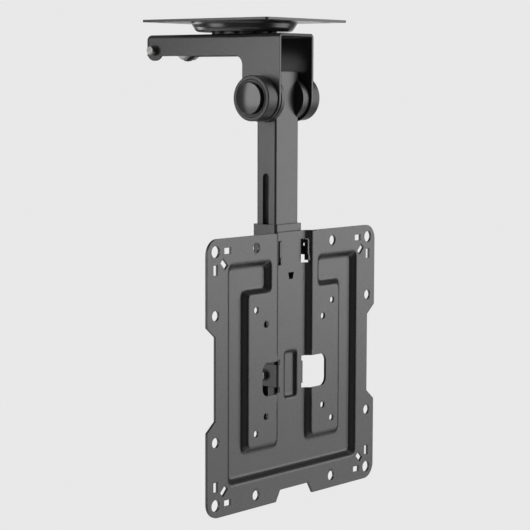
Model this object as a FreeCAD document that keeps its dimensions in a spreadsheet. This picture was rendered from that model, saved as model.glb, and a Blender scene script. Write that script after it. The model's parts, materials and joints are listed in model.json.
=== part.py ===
import FreeCAD, Part
import math
import os
import Sketcher

# Foldable ceiling mount for a television, in millimetres.
# The origin is the centre of the ceiling plate's top face, on the swivel axis.
# +Z is up, -Y is the side of the screen, and the arm runs back along +Y.

Vector = FreeCAD.Vector
doc = FreeCAD.newDocument("ceiling_mount")
sheet = doc.addObject("Spreadsheet::Sheet", "Sizes")

SIZES = [
    # ceiling plate with its pressed dome
    ("ceiling_wide", 105.0, "width of the ceiling plate across the arm"),
    ("ceiling_long", 133.0, "length of the ceiling plate along the arm"),
    ("ceiling_sheet", 2.0, "thickness of the ceiling plate"),
    ("ceiling_corner", 2.5, "corner radius of the ceiling plate"),
    ("ceiling_inset", 12.5, "distance from the ceiling plate's edge in to the screw holes"),
    ("ceiling_hole", 4.25, "radius of the ceiling screw holes"),
    ("dome_mouth", 44.6, "outer radius of the dome where it leaves the plate"),
    ("dome_floor", 39.5, "outer radius of the dome at its floor"),
    ("dome_depth", 7.8, "depth of the dome below the plate"),
    ("dome_round", 4.0, "outer rounding at the edge of the dome's floor"),
    # swivel
    ("swivel_pin", 6.0, "radius of the swivel bolt"),
    ("swivel_disc_radius", 26.8, "radius of the disc between dome and arm"),
    ("swivel_disc_thick", 1.75, "thickness of that disc"),
    ("swivel_notches", 12, "scallops round the edge of that disc"),
    ("swivel_notch", 3.2, "radius of one scallop"),
    ("swivel_head_across", 19.0, "width across flats of the swivel bolt's head"),
    ("swivel_head_tall", 5.5, "height of the swivel bolt's head"),
    ("swivel_nut_tall", 9.0, "height of the swivel nut"),
    ("swivel_washer", 15.0, "radius of the swivel washers"),
    ("washer_thick", 1.5, "thickness of the washers"),
    ("thread_end", 2.4, "length of thread beyond the swivel nut"),
    ("thread_bevel", 0.6, "bevel at the end of a thread"),
    ("corner_bevel", 0.08, "bevel of a hexagon's corners as a share of its width across flats"),
    # folded arm
    ("arm_half", 22.15, "half of the outer width of the arm"),
    ("arm_sheet", 2.3, "thickness of the arm's steel"),
    ("arm_bend", 3.6, "outer radius of the arm's long folds"),
    ("arm_rear", 90.2, "distance from the swivel axis to the arm's rear end"),
    ("arm_tall", 17.7, "height of the arm's side"),
    ("arm_corner", 4.5, "radius of the arm's upper rear corner"),
    ("leg_half", 19.4, "half of the depth of the leg, and the radius of its foot"),
    ("leg_inner_round", 8.0, "rounding where leg and arm meet"),
    ("lug_radius", 8.7, "radius of the two lugs at the arm's rear end"),
    ("lug_back", 80.3, "distance from the swivel axis back to the lugs"),
    ("lug_drop", 12.85, "distance from the arm's top down to the lugs' bolt"),
    ("cross_pin", 3.8, "radius of the cross bolt in the lugs"),
    ("cross_across", 13.0, "width across flats of the cross bolt's head and nuts"),
    ("cross_nut_tall", 6.5, "height of the cross bolt's nuts and head"),
    ("cross_washer", 6.9, "radius of the washer under the cross bolt's head"),
    ("cross_collar", 4.6, "radius of the thin collar where the cross bolt leaves the left lug"),
    ("cross_collar_thick", 1.3, "thickness of that collar"),
    ("cross_end", 5.9, "length of thread beyond the left lug"),
    # fold pivot
    ("pivot_front", 35.7, "distance from the swivel axis forward to the fold pivot"),
    ("pivot_drop", 52.2, "distance from the arm's top down to the fold pivot"),
    ("pivot_pin", 4.0, "radius of the pivot bolt"),
    ("pivot_across", 13.0, "width across flats of the pivot bolt's head and nut"),
    ("pivot_head_tall", 4.8, "height of the pivot bolt's head and of its thin nut"),
    ("pivot_washer", 10.0, "radius of the pivot's outer washers"),
    ("cover_radius", 18.45, "radius of the round pivot covers"),
    ("cover_tall_left", 12.5, "height of the left cover's rim above the arm's side"),
    ("cover_tall_right", 10.4, "height of the right cover's rim above the arm's side"),
    ("cover_lip", 1.0, "rounding of a cover's outer lip"),
    ("cover_groove", 15.2, "radius of the fine ring groove in a cover's face"),
    ("cover_groove_wide", 0.6, "width and depth of that groove"),
    ("cover_mouth", 13.8, "radius of the moat round a cover's button"),
    ("cover_moat", 1.6, "depth of that moat"),
    ("cover_button", 12.6, "radius of the button in the middle of a cover"),
    ("cover_proud", 3.2, "height of the button's edge above the cover's rim"),
    ("cover_crown", 1.8, "rise of the button's domed top"),
    ("cover_wall", 1.6, "wall of a cover"),
    ("disc_radius_left", 19.5, "radius of the left friction disc"),
    ("disc_radius_right", 17.6, "radius of the right friction disc"),
    ("disc_seat", 11.3, "distance from the middle plane to the deep right disc's face"),
    ("lining_radius", 16.6, "radius of the thin friction linings"),
    ("lining_thick", 0.7, "thickness of the friction linings"),
    # post
    ("tube_wide", 30.0, "width of the post's tube"),
    ("tube_deep", 20.0, "depth of the post's tube"),
    ("tube_wall", 1.8, "wall of the post's tube"),
    ("tube_corner", 1.8, "outer corner radius of the post's tube"),
    ("tube_above", 21.6, "length of the tube above the fold pivot"),
    ("tube_below", 286.0, "length of the tube below the fold pivot"),
    ("slot_wide", 6.2, "width of the long slots in the tube's sides"),
    ("slot_top", 60.9, "distance from the fold pivot down to the slots' top end"),
    ("slot_long", 208.3, "length of the slots"),
    ("block_tall", 40.0, "height of the steel block in the tube's head"),
    ("block_sunk", 1.5, "depth of the block's top below the tube's end"),
    ("cap_thick", 3.0, "height of the tube cap's rim"),
    ("cap_plug", 9.0, "length of the tube cap's plug"),
    # sliding carriage
    ("plate_drop", 270.4, "distance from the arm's top down to the screen plate's centre"),
    ("plate_ahead", 19.1, "distance from the tube's middle forward to the screen's back"),
    ("collar_wall", 2.0, "wall of the sliding collar"),
    ("collar_above", 6.0, "height of the collar's top above the screen plate's top"),
    ("collar_tall", 36.0, "length of the collar"),
    ("collar_corner", 2.4, "outer corner radius of the collar"),
    ("hook_sheet", 2.0, "thickness of the two hook plates"),
    ("hook_tall", 12.8, "height of the hook plates"),
    ("hook_toe", 4.4, "extra depth of the hooks' front toe"),
    ("hook_step", 0.8, "distance of a hook's front edge behind its toe"),
    ("hook_notch", 5.6, "depth of the hooks' notch"),
    ("guide_down", 22.0, "distance from the collar's top down to the guide screw"),
    ("lock_drop", 7.7, "distance from the plate's centre down to the lock screw"),
    ("screw_pin", 2.5, "radius of the guide and lock screws"),
    ("screw_across", 8.0, "width across flats of their heads and nuts"),
    ("screw_head_tall", 3.5, "height of their heads and nuts"),
    ("screw_washer", 4.6, "radius of their washers"),
    ("screw_washer_thick", 1.0, "thickness of their washers"),
    ("screw_end", 1.6, "length of thread beyond a nut"),
    # pressed screen plate
    ("press_side", 110.0, "half of the side of the pressed screen plate"),
    ("press_sheet", 2.0, "thickness of the screen plate"),
    ("press_corner", 12.5, "corner radius of the screen plate"),
    ("press_depth", 4.5, "depth of the pressed channels"),
    ("press_run", 4.0, "width of a channel's sloping wall"),
    ("press_round", 6.0, "corner radius of the pressed channels"),
    ("press_bend", 1.1, "rounding of the pressed edges, front and back"),
    ("rim_side", 26.0, "distance from the plate's side in to the side channels' outer rim"),
    ("rim_top", 21.0, "distance from the plate's top down to the channels' upper rim"),
    ("rim_bottom", 23.0, "distance from the plate's foot up to the channels' lower rim"),
    ("pad_inner", 22.5, "distance from the middle to the raised pads' inner edge"),
    ("pad_outer", 60.0, "distance from the middle to the raised pads' outer edge"),
    ("pad_step", 31.0, "distance from the middle to the pads' upper neck"),
    ("pad_top", 62.7, "distance from the centre up to the pads' shoulder"),
    ("pad_bottom", 60.8, "distance from the centre down to the pads' lower edge"),
    ("rib_half", 8.0, "half of the width of the stiffening rib"),
    ("rib_top", 12.0, "distance from the centre up to the rib's end"),
    ("rib_bottom", 27.0, "distance from the centre down to the rib's end"),
    ("rib_run", 1.6, "width of the rib's sloping wall"),
    ("rib_round", 3.2, "corner radius of the rib"),
    ("side_notch_outer", 41.3, "half of a side notch's length at the plate's edge"),
    ("side_notch_inner", 33.2, "half of a side notch's length at its bottom"),
    ("side_notch_deep", 10.0, "depth of a side notch"),
    ("foot_notch_outer", 24.4, "half of the lower notch's length at the edge"),
    ("foot_notch_inner", 18.8, "half of the lower notch's length at its bottom"),
    ("foot_notch_deep", 9.3, "depth of the lower notch"),
    ("hole_inset", 10.0, "distance from the plate's edge in to the outer screw holes"),
    ("hole_near", 50.0, "half of the middle screw hole spacing"),
    ("hole_small", 37.5, "half of the small screw hole spacing"),
    ("hole_radius", 4.2, "radius of the outer screw holes"),
    ("hole_corner_radius", 4.8, "radius of the four corner holes"),
    ("hole_small_radius", 2.8, "radius of the inner screw holes"),
    ("key_long", 8.0, "length of the little slots round each corner hole"),
    ("key_wide", 5.0, "width of those slots"),
    ("key_reach", 14.5, "distance from a corner hole to a slot's middle"),
    ("peep_height", 73.7, "height of the single hole in the channel floor"),
    ("peep_top", 3.5, "half of that hole's width at its top"),
    ("peep_foot", 2.2, "half of that hole's width at its foot"),
    ("peep_tall", 5.4, "height of that hole"),
    ("window_outer", 41.8, "distance from the middle to a window's outer end"),
    ("window_top", 5.9, "distance from the centre up to the windows"),
    ("window_bottom", 21.2, "distance from the centre down to the windows"),
    ("window_round", 6.5, "corner radius of the windows' outer ends"),
    ("ear_tall", 18.4, "height of the ears bent back from the windows"),
    ("ear_relief", 1.0, "depth of the bend reliefs beside the ears"),
    ("ear_long", 27.0, "distance from the screen's back to the ears' ends"),
    ("ear_round", 4.0, "corner radius of the ears' ends"),
    ("gate_inner", 13.0, "distance from the middle to the hook openings"),
    ("gate_outer", 21.7, "distance from the middle to their outer end"),
    ("gate_down", 7.2, "distance from the plate's top down to the hook openings"),
    ("gate_tall", 19.6, "height of the hook openings"),
    ("tongue_wide", 2.4, "width of the tongues that sit in the hooks"),
    ("tongue_tall", 3.3, "length of those tongues"),
    # clearances
    ("slide_gap", 0.3, "clearance between sliding faces"),
    ("turn_gap", 0.1, "clearance between turning flat faces"),
    ("shaft_gap", 0.06, "radial clearance of a turning bolt"),
    ("bolt_gap", 0.2, "radial clearance of a fixed bolt"),
]


def fill_sheet():
    """Write every driving size into the sheet, one named cell to a row."""
    for row, (alias, value, meaning) in enumerate(SIZES, start=1):
        cell = "B%d" % row
        sheet.set("A%d" % row, meaning)
        sheet.set(cell, str(value))
        sheet.setAlias(cell, alias)
    doc.recompute()


def size(alias):
    """Give the present value of a named size."""
    return float(getattr(sheet, alias))


def bind(item, sizes):
    """Tie properties of an object to expressions over the sheet."""
    for name, expression in sizes.items():
        item.setExpression(name, expression)
    return item


def place(item, x="0 mm", y="0 mm", z="0 mm", axis=None, angle=0.0):
    """Give an object its place, with an optional turn about an axis."""
    if axis is not None:
        item.Placement = FreeCAD.Placement(Vector(), FreeCAD.Rotation(axis, angle))
    return bind(item, {"Placement.Base.x": x, "Placement.Base.y": y, "Placement.Base.z": z})


def new_body(label):
    """Make an empty body with its own label."""
    body = doc.addObject("PartDesign::Body", label)
    body.Label = label
    return body


def origin_plane(body, role):
    """Find one of a body's own three planes."""
    return [item for item in body.Origin.OriginFeatures if item.Role == role][0]


def new_sketch(body, name, role, height=None):
    """Attach a sketch to one of a body's planes, at a height along its normal."""
    sketch = body.newObject("Sketcher::SketchObject", name)
    sketch.AttachmentSupport = [(origin_plane(body, role), "")]
    sketch.MapMode = "FlatFace"
    if height is not None:
        sketch.setExpression("AttachmentOffset.Base.z", height)
    return sketch


def fix_point(sketch, geometry, point, x, y):
    """Hold a point of a sketch at coordinates given as expressions."""
    for kind, expression in (("DistanceX", x), ("DistanceY", y)):
        index = sketch.addConstraint(Sketcher.Constraint(kind, -1, 1, geometry, point, 1.0))
        sketch.setExpression("Constraints[%d]" % index, expression)


def add_polygon(sketch, corners):
    """Draw a closed outline through corners given as pairs of expressions."""
    first = sketch.GeometryCount
    count = len(corners)
    start = []
    for index in range(count):
        turn = 2.0 * math.pi * index / count
        start.append(Vector(math.cos(turn), math.sin(turn), 0.0))
    lines = []
    for index in range(count):
        lines.append(Part.LineSegment(start[index], start[(index + 1) % count]))
    sketch.addGeometry(lines, False)
    joins = []
    for index in range(count):
        follower = first + (index + 1) % count
        joins.append(Sketcher.Constraint("Coincident", first + index, 2, follower, 1))
    sketch.addConstraint(joins)
    for index, (x, y) in enumerate(corners):
        fix_point(sketch, first + index, 1, x, y)


def add_box(sketch, left, right, low, high):
    """Draw a rectangle between expressions."""
    add_polygon(sketch, [(left, low), (right, low), (right, high), (left, high)])


def add_circle(sketch, x, y, radius):
    """Draw a circle with its centre and radius given as expressions."""
    circle = Part.Circle(Vector(0, 0, 0), Vector(0, 0, 1), 1.0)
    index = sketch.addGeometry(circle, False)
    fix_point(sketch, index, 3, x, y)
    limit = sketch.addConstraint(Sketcher.Constraint("Radius", index, 1.0))
    sketch.setExpression("Constraints[%d]" % limit, radius)


def add_hexagon(sketch, across):
    """Draw a hexagon with two flats parallel to the sketch's x axis."""
    corner = "%s / sqrt(3)" % across
    rise = "%s / 2" % across
    half = "%s / (2 * sqrt(3))" % across
    add_polygon(sketch, [
        (corner, "0"),
        (half, rise),
        ("-" + half, rise),
        ("-" + corner, "0"),
        ("-" + half, "-" + rise),
        (half, "-" + rise),
    ])


def pad(body, name, sketch, length, symmetric=False, reverse=False, taper=None):
    """Raise a sketch into a solid."""
    feature = body.newObject("PartDesign::Pad", name)
    feature.Profile = sketch
    if symmetric:
        feature.SideType = "Symmetric"
    feature.Reversed = reverse
    feature.setExpression("Length", length)
    if taper is not None:
        feature.setExpression("TaperAngle", taper)
    return feature


def pocket(body, name, sketch, length, symmetric=False, reverse=False, taper=None):
    """Cut a sketch out of a body, to a depth along the plane's normal."""
    feature = body.newObject("PartDesign::Pocket", name)
    feature.Profile = sketch
    if symmetric:
        feature.SideType = "Symmetric"
    feature.Reversed = reverse
    feature.setExpression("Length", length)
    if taper is not None:
        feature.setExpression("TaperAngle", taper)
    return feature


def round_edges(body, name, radius, choose):
    """Round those edges of a body's last feature that a test picks."""
    doc.recompute()
    last = body.Tip
    picked = []
    for number, edge in enumerate(last.Shape.Edges, start=1):
        if choose(edge):
            picked.append("Edge%d" % number)
    feature = body.newObject("PartDesign::Fillet", name)
    feature.Base = (last, picked)
    feature.setExpression("Radius", radius)
    return feature


def ends(edge):
    """Give the two end points of an edge."""
    return edge.Vertexes[0].Point, edge.Vertexes[-1].Point


def runs_along(edge, axis, shortest=0.5):
    """Tell whether an edge is straight and parallel to an axis."""
    start, finish = ends(edge)
    span = finish - start
    along = abs(span.dot(axis))
    return along > shortest and (span - axis * span.dot(axis)).Length < 0.01


def turned(label, corners):
    """Make a body by turning a half profile of (radius, height) about its z axis."""
    body = new_body(label)
    sketch = new_sketch(body, label + "_profile", "XZ_Plane")
    add_polygon(sketch, corners)
    turn = body.newObject("PartDesign::Revolution", label + "_turning")
    turn.Profile = sketch
    turn.ReferenceAxis = (sketch, ["V_Axis"])
    turn.Angle = 360.0
    return body


def ring(label, outer, inner, thick):
    """Make a flat ring: a washer, disc, lining or bush."""
    return turned(label, [(inner, "0"), (outer, "0"), (outer, thick), (inner, thick)])


def cut_hexagon(body, name, across, low, tall):
    """Cut six flats on the stretch of a turned blank above a height."""
    sketch = new_sketch(body, name + "_sketch", "XY_Plane", low)
    add_hexagon(sketch, across)
    add_circle(sketch, "0", "0", across)
    return pocket(body, name, sketch, tall, reverse=True)


def bolt(label, across, head_tall, pin, length):
    """Make a hexagon bolt: head above z = 0, shank below it."""
    corner = "%s / sqrt(3)" % across
    bevel = "%s * Sizes.corner_bevel" % across
    body = turned(label, [
        ("0", "-(%s)" % length),
        ("%s - Sizes.thread_bevel" % pin, "-(%s)" % length),
        (pin, "-(%s) + Sizes.thread_bevel" % length),
        (pin, "0"),
        (corner, "0"),
        (corner, "%s - %s / 2" % (head_tall, bevel)),
        ("%s - %s" % (corner, bevel), head_tall),
        ("0", head_tall),
    ])
    cut_hexagon(body, label + "_flats", across, "0", head_tall)
    return body


def nut(label, across, tall, pin):
    """Make a hexagon nut that stands on z = 0."""
    corner = "%s / sqrt(3)" % across
    bevel = "%s * Sizes.corner_bevel" % across
    body = turned(label, [
        (pin, "0"),
        ("%s - %s" % (corner, bevel), "0"),
        (corner, "%s / 2" % bevel),
        (corner, "%s - %s / 2" % (tall, bevel)),
        ("%s - %s" % (corner, bevel), tall),
        (pin, tall),
    ])
    cut_hexagon(body, label + "_flats", across, "0", tall)
    return body


X_AXIS = Vector(1, 0, 0)
Y_AXIS = Vector(0, 1, 0)
Z_AXIS = Vector(0, 0, 1)

# Levels and faces that several pieces share, as expressions over the sheet.
ARM_TOP = "-(Sizes.ceiling_sheet + Sizes.dome_depth + Sizes.turn_gap + Sizes.swivel_disc_thick)"
PIVOT_HEIGHT = "(%s - Sizes.pivot_drop)" % ARM_TOP
PIVOT_PLACE = "(-Sizes.pivot_front)"
PLATE_HEIGHT = "(%s - Sizes.plate_drop)" % ARM_TOP
ARM_FRONT = "(-(Sizes.pivot_front + Sizes.leg_half))"
ARM_INSIDE = "(Sizes.arm_half - Sizes.arm_sheet)"
PACK_END = "(%s - Sizes.turn_gap)" % ARM_INSIDE
LINING_END = "(%s - Sizes.lining_thick)" % PACK_END
TUBE_SIDE = "(Sizes.tube_wide / 2)"
COLLAR_SIDE = "(%s + Sizes.slide_gap + Sizes.collar_wall)" % TUBE_SIDE
EAR_INSIDE = "(%s + Sizes.slide_gap)" % TUBE_SIDE
EAR_OUTSIDE = "(%s + Sizes.press_sheet)" % EAR_INSIDE
COLLAR_TOP = "(Sizes.press_side + Sizes.collar_above)"
GUIDE_HEIGHT = "(%s - Sizes.guide_down)" % COLLAR_TOP
HOOK_TOP = "(Sizes.press_side - Sizes.gate_down - Sizes.turn_gap)"
RIB_DEPTH = ("(Sizes.plate_ahead - Sizes.tube_deep / 2 - Sizes.slide_gap"
             " - Sizes.press_depth - Sizes.press_sheet)")


def ceiling_plate():
    """Plate with a dome pressed down from its middle."""
    body = new_body("ceiling_plate")
    across = "Sizes.ceiling_wide / 2"
    along = "Sizes.ceiling_long / 2"
    outline = new_sketch(body, "ceiling_outline", "XY_Plane")
    add_box(outline, "-" + across, across, "-" + along, along)
    pad(body, "ceiling_blank", outline, "Sizes.ceiling_sheet", reverse=True)
    round_edges(body, "ceiling_corners", "Sizes.ceiling_corner", lambda e: runs_along(e, Z_AXIS))
    low = "-(Sizes.ceiling_sheet + Sizes.dome_depth)"
    bowl = new_sketch(body, "dome_profile", "XZ_Plane")
    add_polygon(bowl, [
        ("0", low),
        ("Sizes.dome_floor", low),
        ("Sizes.dome_mouth", "-Sizes.ceiling_sheet"),
        ("0", "-Sizes.ceiling_sheet"),
    ])
    dome = body.newObject("PartDesign::Revolution", "dome")
    dome.Profile = bowl
    dome.ReferenceAxis = (bowl, ["V_Axis"])
    dome.Angle = 360.0
    run = "(Sizes.dome_mouth - Sizes.dome_floor)"
    shift = ("Sizes.ceiling_sheet * (sqrt(%s^2 + Sizes.dome_depth^2) - %s) / Sizes.dome_depth"
             % (run, run))
    hollow = new_sketch(body, "hollow_profile", "XZ_Plane")
    add_polygon(hollow, [
        ("0", "-Sizes.dome_depth"),
        ("Sizes.dome_floor - " + shift, "-Sizes.dome_depth"),
        ("Sizes.dome_mouth - " + shift, "0"),
        ("Sizes.dome_mouth - " + shift, "1"),
        ("0", "1"),
    ])
    groove = body.newObject("PartDesign::Groove", "dome_hollow")
    groove.Profile = hollow
    groove.ReferenceAxis = (hollow, ["V_Axis"])
    groove.Angle = 360.0
    doc.recompute()
    floor_under = -size("ceiling_sheet") - size("dome_depth")

    def at_floor(edge, height):
        box = edge.BoundBox
        wide = box.XLength > size("dome_floor")
        return wide and abs(box.ZMin - height) < 0.01 and abs(box.ZMax - height) < 0.01

    round_edges(body, "dome_edge", "Sizes.dome_round", lambda e: at_floor(e, floor_under))
    round_edges(body, "dome_inner_edge", "Sizes.dome_round - Sizes.ceiling_sheet",
                lambda e: at_floor(e, -size("dome_depth")))
    holes = new_sketch(body, "ceiling_holes", "XY_Plane")
    for x_sign in ("", "-"):
        for y_sign in ("", "-"):
            add_circle(holes, "%s(%s - Sizes.ceiling_inset)" % (x_sign, across),
                       "%s(%s - Sizes.ceiling_inset)" % (y_sign, along), "Sizes.ceiling_hole")
    add_circle(holes, "0", "0", "Sizes.swivel_pin + Sizes.bolt_gap")
    pocket(body, "ceiling_drilling", holes, "2 * Sizes.ceiling_sheet + Sizes.dome_depth")
    place(body)


def swivel():
    """Bolt, washers, nut and the scalloped disc that the arm swivels on."""
    inside = "-Sizes.dome_depth"
    web_under = "%s - Sizes.arm_sheet - Sizes.turn_gap" % ARM_TOP
    hole = "Sizes.swivel_pin + Sizes.bolt_gap"
    washer = ring("swivel_washer_upper", "Sizes.swivel_washer", hole, "Sizes.washer_thick")
    place(washer, z=inside)
    head_under = "(%s + Sizes.washer_thick)" % inside
    nut_top = "(%s - Sizes.washer_thick)" % web_under
    shank = "%s - %s + Sizes.swivel_nut_tall + Sizes.thread_end" % (head_under, nut_top)
    place(bolt("swivel_bolt", "Sizes.swivel_head_across", "Sizes.swivel_head_tall",
               "Sizes.swivel_pin", shank), z=head_under)
    washer = ring("swivel_washer_lower", "Sizes.swivel_washer", hole, "Sizes.washer_thick")
    place(washer, z=nut_top)
    place(nut("swivel_nut", "Sizes.swivel_head_across", "Sizes.swivel_nut_tall",
              "Sizes.swivel_pin + Sizes.shaft_gap"), z="%s - Sizes.swivel_nut_tall" % nut_top)
    disc = ring("swivel_disc", "Sizes.swivel_disc_radius", "Sizes.swivel_pin + Sizes.slide_gap",
                "Sizes.swivel_disc_thick")
    scallop = new_sketch(disc, "scallop_sketch", "XY_Plane")
    add_circle(scallop, "Sizes.swivel_disc_radius", "0", "Sizes.swivel_notch")
    cut = pocket(disc, "scallop", scallop, "2 * Sizes.swivel_disc_thick", symmetric=True)
    repeat = disc.newObject("PartDesign::PolarPattern", "scallops")
    repeat.Originals = [cut]
    repeat.Axis = (scallop, ["N_Axis"])
    repeat.Angle = 360.0
    repeat.setExpression("Occurrences", "Sizes.swivel_notches")
    disc.Tip = repeat
    place(disc, z=ARM_TOP)


def arm_bracket():
    """Arm and leg folded from one sheet: a channel that is open below and in front."""
    body = new_body("arm_bracket")
    wide = "2 * Sizes.arm_half"
    leg_back = "-Sizes.pivot_front + Sizes.leg_half"
    side = new_sketch(body, "arm_side", "YZ_Plane")
    add_polygon(side, [
        (ARM_FRONT, "-Sizes.pivot_drop"),
        (leg_back, "-Sizes.pivot_drop"),
        (leg_back, "-Sizes.arm_tall"),
        ("Sizes.arm_rear", "-Sizes.arm_tall"),
        ("Sizes.arm_rear", "0"),
        (ARM_FRONT, "0"),
    ])
    pad(body, "arm_blank", side, wide, symmetric=True)
    foot = new_sketch(body, "foot_sketch", "YZ_Plane")
    add_circle(foot, "-Sizes.pivot_front", "-Sizes.pivot_drop", "Sizes.leg_half")
    pad(body, "foot", foot, wide, symmetric=True)
    lug = new_sketch(body, "lug_sketch", "YZ_Plane")
    add_circle(lug, "Sizes.lug_back", "-Sizes.lug_drop", "Sizes.lug_radius")
    pad(body, "lug", lug, wide, symmetric=True)
    inner_y = -size("pivot_front") + size("leg_half")

    def across_at(edge, y, z):
        point = ends(edge)[0]
        return runs_along(edge, X_AXIS) and abs(point.y - y) < 0.01 and abs(point.z - z) < 0.01

    round_edges(body, "knee", "Sizes.leg_inner_round",
                lambda e: across_at(e, inner_y, -size("arm_tall")))
    round_edges(body, "rear_corner", "Sizes.arm_corner", lambda e: across_at(e, size("arm_rear"), 0.0))
    round_edges(body, "folds", "Sizes.arm_bend",
                lambda e: runs_along(e, Y_AXIS) and abs(ends(e)[0].z) < 0.01)
    channel = new_sketch(body, "channel_sketch", "XZ_Plane")
    add_box(channel, "-" + ARM_INSIDE, ARM_INSIDE, "-2 * Sizes.pivot_drop", "-Sizes.arm_sheet")
    pocket(body, "channel", channel, "4 * Sizes.arm_rear", symmetric=True)
    under = -size("arm_sheet")
    round_edges(body, "inner_folds", "Sizes.arm_bend - Sizes.arm_sheet",
                lambda e: runs_along(e, Y_AXIS) and abs(ends(e)[0].z - under) < 0.01
                and abs(abs(ends(e)[0].x) - size("arm_half") + size("arm_sheet")) < 0.01)
    holes = new_sketch(body, "arm_holes", "YZ_Plane")
    add_circle(holes, "-Sizes.pivot_front", "-Sizes.pivot_drop", "Sizes.pivot_pin + Sizes.bolt_gap")
    add_circle(holes, "Sizes.lug_back", "-Sizes.lug_drop", "Sizes.cross_pin + Sizes.bolt_gap")
    pocket(body, "arm_drilling", holes, "2 * " + wide, symmetric=True)
    web = new_sketch(body, "web_hole", "XY_Plane")
    add_circle(web, "0", "0", "Sizes.swivel_pin + Sizes.shaft_gap")
    pocket(body, "web_drilling", web, "2 * Sizes.arm_sheet")
    place(body, z=ARM_TOP)


def cross_bolt():
    """Long bolt through the lugs at the arm's rear end, with its nut, washer and collar."""
    height = "%s - Sizes.lug_drop" % ARM_TOP
    hole = "Sizes.cross_pin + Sizes.bolt_gap"
    seat = "(Sizes.arm_half + Sizes.washer_thick)"
    length = "%s + Sizes.arm_half + Sizes.cross_end" % seat
    washer = ring("cross_washer", "Sizes.cross_washer", hole, "Sizes.washer_thick")
    place(washer, "Sizes.arm_half", "Sizes.lug_back", height, Y_AXIS, 90)
    collar = ring("cross_collar", "Sizes.cross_collar", hole, "Sizes.cross_collar_thick")
    place(collar, "-Sizes.arm_half", "Sizes.lug_back", height, Y_AXIS, -90)
    head = bolt("cross_bolt", "Sizes.cross_across", "Sizes.cross_nut_tall", "Sizes.cross_pin", length)
    place(head, seat, "Sizes.lug_back", height, Y_AXIS, 90)
    thread = "Sizes.cross_pin + Sizes.shaft_gap"
    inner_nut = nut("cross_nut", "Sizes.cross_across", "Sizes.cross_nut_tall", thread)
    place(inner_nut, ARM_INSIDE, "Sizes.lug_back", height, Y_AXIS, -90)


def pivot_cover(label, side, tall):
    """Round cap over one end of the pivot, with a domed button that stands in a moat."""
    moat = "(%s - Sizes.cover_moat)" % tall
    edge = "(%s + Sizes.cover_proud)" % tall
    body = turned(label, [
        ("0", moat + " - Sizes.cover_wall"),
        ("Sizes.cover_radius - Sizes.cover_wall", moat + " - Sizes.cover_wall"),
        ("Sizes.cover_radius - Sizes.cover_wall", "0"),
        ("Sizes.cover_radius", "0"),
        ("Sizes.cover_radius", tall),
        ("Sizes.cover_groove + Sizes.cover_groove_wide / 2", tall),
        ("Sizes.cover_groove", "%s - Sizes.cover_groove_wide" % tall),
        ("Sizes.cover_groove - Sizes.cover_groove_wide / 2", tall),
        ("Sizes.cover_mouth", tall),
        ("Sizes.cover_mouth", moat),
        ("Sizes.cover_button", moat),
        ("Sizes.cover_button", edge),
        ("0", edge),
    ])
    doc.recompute()
    rim = size(tall[len("Sizes."):])

    def at_lip(edge):
        box = edge.BoundBox
        wide = abs(box.XLength - 2 * size("cover_radius")) < 0.01
        return wide and abs(box.ZMin - rim) < 0.01

    round_edges(body, label + "_lip", "Sizes.cover_lip", at_lip)
    ball = "((Sizes.cover_button^2 + Sizes.cover_crown^2) / (2 * Sizes.cover_crown))"
    crown = body.newObject("PartDesign::AdditiveSphere", label + "_crown")
    crown.AttachmentSupport = [(origin_plane(body, "XY_Plane"), "")]
    crown.MapMode = "FlatFace"
    bind(crown, {
        "Radius": ball,
        "Angle1": "asin((%s - Sizes.cover_crown) / %s)" % (ball, ball),
        "AttachmentOffset.Base.z": "%s + Sizes.cover_crown - %s" % (edge, ball),
    })
    place(body, "%s * Sizes.arm_half" % side, PIVOT_PLACE, PIVOT_HEIGHT, Y_AXIS, 90 * side)
    return body


def fold_pivot():
    """Bolt, nut, washers and covers that stay on the arm."""
    hole = "Sizes.pivot_pin + Sizes.bolt_gap"
    seat = "(Sizes.arm_half + Sizes.washer_thick)"
    for label, near in (("pivot_washer_right", "Sizes.arm_half"), ("pivot_washer_left", "-" + seat)):
        washer = ring(label, "Sizes.pivot_washer", hole, "Sizes.washer_thick")
        place(washer, near, PIVOT_PLACE, PIVOT_HEIGHT, Y_AXIS, 90)
    length = "2 * %s + Sizes.pivot_head_tall" % seat
    head = bolt("pivot_bolt", "Sizes.pivot_across", "Sizes.pivot_head_tall", "Sizes.pivot_pin", length)
    place(head, seat, PIVOT_PLACE, PIVOT_HEIGHT, Y_AXIS, 90)
    end_nut = nut("pivot_nut", "Sizes.pivot_across", "Sizes.pivot_head_tall",
                  "Sizes.pivot_pin + Sizes.shaft_gap")
    place(end_nut, "-" + seat, PIVOT_PLACE, PIVOT_HEIGHT, Y_AXIS, -90)
    pivot_cover("pivot_cover_left", -1, "Sizes.cover_tall_left")
    pivot_cover("pivot_cover_right", 1, "Sizes.cover_tall_right")


def friction_pack():
    """Discs and linings that turn with the post, either side of the tube."""
    hole = "Sizes.pivot_pin + Sizes.shaft_gap"
    for name, side, seat in (("left", -1, TUBE_SIDE), ("right", 1, "Sizes.disc_seat")):
        disc = ring("friction_disc_" + name, "Sizes.disc_radius_" + name, hole,
                    "%s - %s" % (LINING_END, seat))
        place(disc, "%s * %s" % (side, seat), PIVOT_PLACE, PIVOT_HEIGHT, Y_AXIS, 90 * side)
        lining = ring("friction_lining_" + name, "Sizes.lining_radius", hole, "Sizes.lining_thick")
        place(lining, "%s * %s" % (side, LINING_END), PIVOT_PLACE, PIVOT_HEIGHT, Y_AXIS, 90 * side)


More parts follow.
